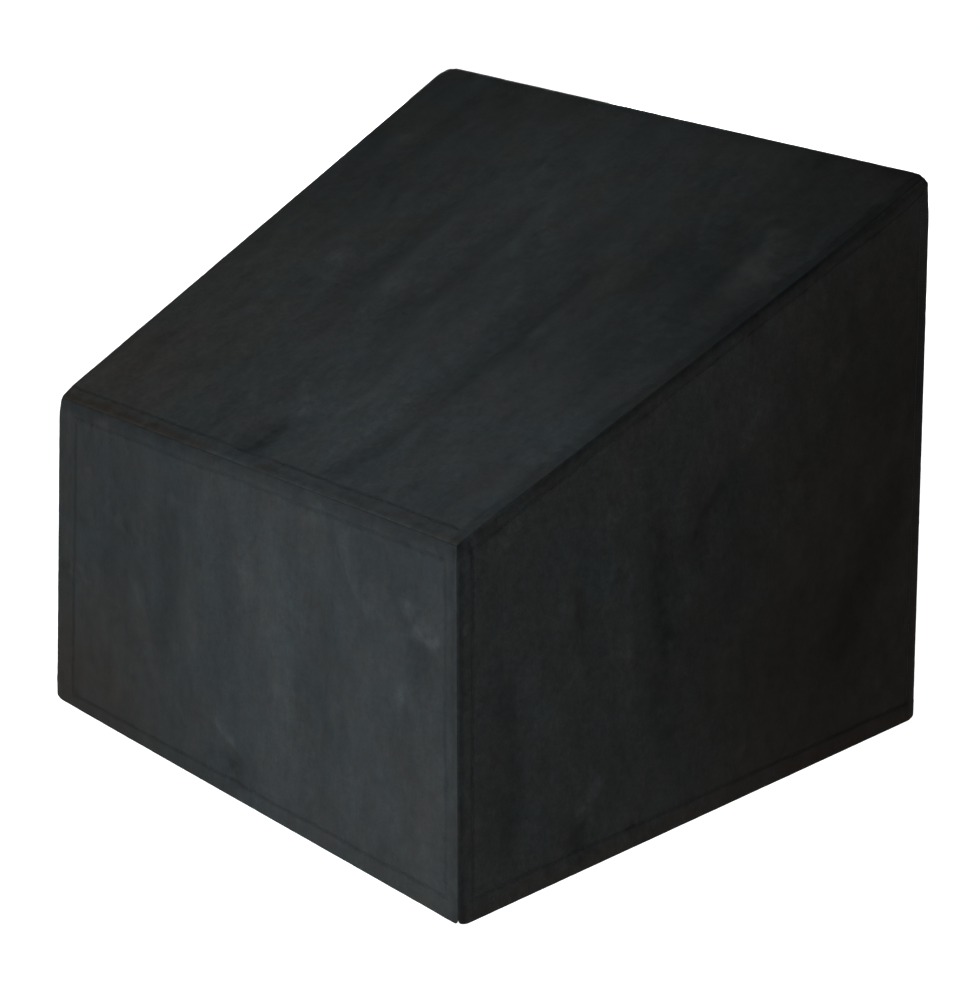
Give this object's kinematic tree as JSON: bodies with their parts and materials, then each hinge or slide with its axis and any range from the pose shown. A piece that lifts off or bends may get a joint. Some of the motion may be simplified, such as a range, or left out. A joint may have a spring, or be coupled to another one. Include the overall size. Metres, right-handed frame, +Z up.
{
  "type": "sectional module cover",
  "caption": "Fitted weather cover for one garden sofa module: a hollow sloping wedge of coated cloth, low in front, tall behind and open at the hem.",
  "frame": {"origin": "on the ground, at the middle of the bottom of the cover's bounding box", "axes": "+X towards the module's right-hand side, -Y towards its low front, +Z up"},
  "size_m": [0.8962, 0.753, 0.7108],
  "materials": {
    "front_cloth": "matt coated woven polyester, charcoal",
    "top_cloth": "matt coated woven polyester, charcoal",
    "side_cloth": "matt coated woven polyester, charcoal",
    "back_cloth": "matt coated woven polyester, charcoal"
  },
  "bodies": {
    "root": {"front_panel": "front_cloth", "top_panel": "top_cloth", "side_panel_right": "side_cloth", "side_panel_left": "side_cloth", "back_panel": "back_cloth"}
  },
  "joints": []
}
